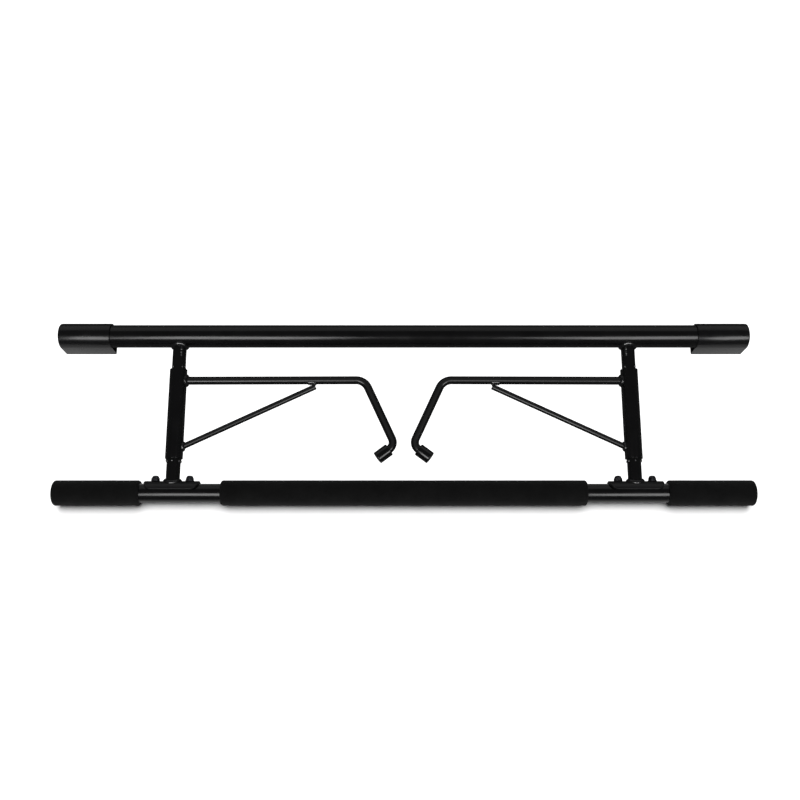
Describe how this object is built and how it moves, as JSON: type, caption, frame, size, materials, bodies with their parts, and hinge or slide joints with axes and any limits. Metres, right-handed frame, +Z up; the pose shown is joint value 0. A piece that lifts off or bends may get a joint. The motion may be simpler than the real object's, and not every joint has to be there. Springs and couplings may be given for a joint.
{
  "type": "doorway pull-up bar",
  "caption": "Folding doorway pull-up bar: foam-covered grip bar joined by posts to a bearing bar with turning end pads, and swivel hooks that fold flat between them.",
  "frame": {"origin": "under the middle of the bar, on the surface that the end pads and foam grips lie on", "axes": "+X along the bars to the right, +Y from the grip bar towards the bearing bar, +Z up"},
  "size_m": [0.966, 0.2579, 0.044],
  "materials": {
    "gloss_black_steel": "gloss",
    "satin_black_steel": "satin",
    "black_zinc_steel": "satin",
    "black_foam": "matte",
    "black_plastic": "satin",
    "black_rubber": "satin",
    "black_pad_rubber": "satin"
  },
  "bodies": {
    "frame": {"bearing_bar_tube": "gloss_black_steel", "grip_tube": "gloss_black_steel", "centre_foam_grip": "black_foam", "left_post_tube": "gloss_black_steel", "left_saddle_plate": "satin_black_steel", "left_saddle_studs": "black_zinc_steel", "left_saddle_washers": "black_zinc_steel", "left_saddle_cap_nuts": "black_zinc_steel", "left_foam_grip": "black_foam", "left_grip_end_plug": "black_plastic", "left_sleeve_stops": "satin_black_steel", "right_post_tube": "gloss_black_steel", "right_saddle_plate": "satin_black_steel", "right_saddle_studs": "black_zinc_steel", "right_saddle_washers": "black_zinc_steel", "right_saddle_cap_nuts": "black_zinc_steel", "right_foam_grip": "black_foam", "right_grip_end_plug": "black_plastic", "right_sleeve_stops": "satin_black_steel"},
    "left_hook": {"left_hook_sleeve": "gloss_black_steel", "left_hook_rod": "gloss_black_steel", "left_hook_brace": "gloss_black_steel", "left_hook_tip_cap": "black_rubber"},
    "right_hook": {"right_hook_sleeve": "gloss_black_steel", "right_hook_rod": "gloss_black_steel", "right_hook_brace": "gloss_black_steel", "right_hook_tip_cap": "black_rubber"},
    "left_pad": {"left_end_pad": "black_pad_rubber"},
    "right_pad": {"right_end_pad": "black_pad_rubber"}
  },
  "joints": [
    {"name": "left_hook_swing", "type": "hinge", "parent": "frame", "child": "left_hook", "pos_m": [-0.315, -0.0118, 0.02122], "axis": [0, -0.9992, -0.0392], "continuous": true},
    {"name": "right_hook_swing", "type": "hinge", "parent": "frame", "child": "right_hook", "pos_m": [0.315, -0.0118, 0.02122], "axis": [0, 0.9992, 0.0392], "continuous": true},
    {"name": "left_pad_turn", "type": "hinge", "parent": "frame", "child": "left_pad", "pos_m": [-0.447, 0.1101, 0.026], "axis": [1, 0, 0], "continuous": true},
    {"name": "right_pad_turn", "type": "hinge", "parent": "frame", "child": "right_pad", "pos_m": [0.447, 0.1101, 0.026], "axis": [1, 0, 0], "continuous": true}
  ]
}
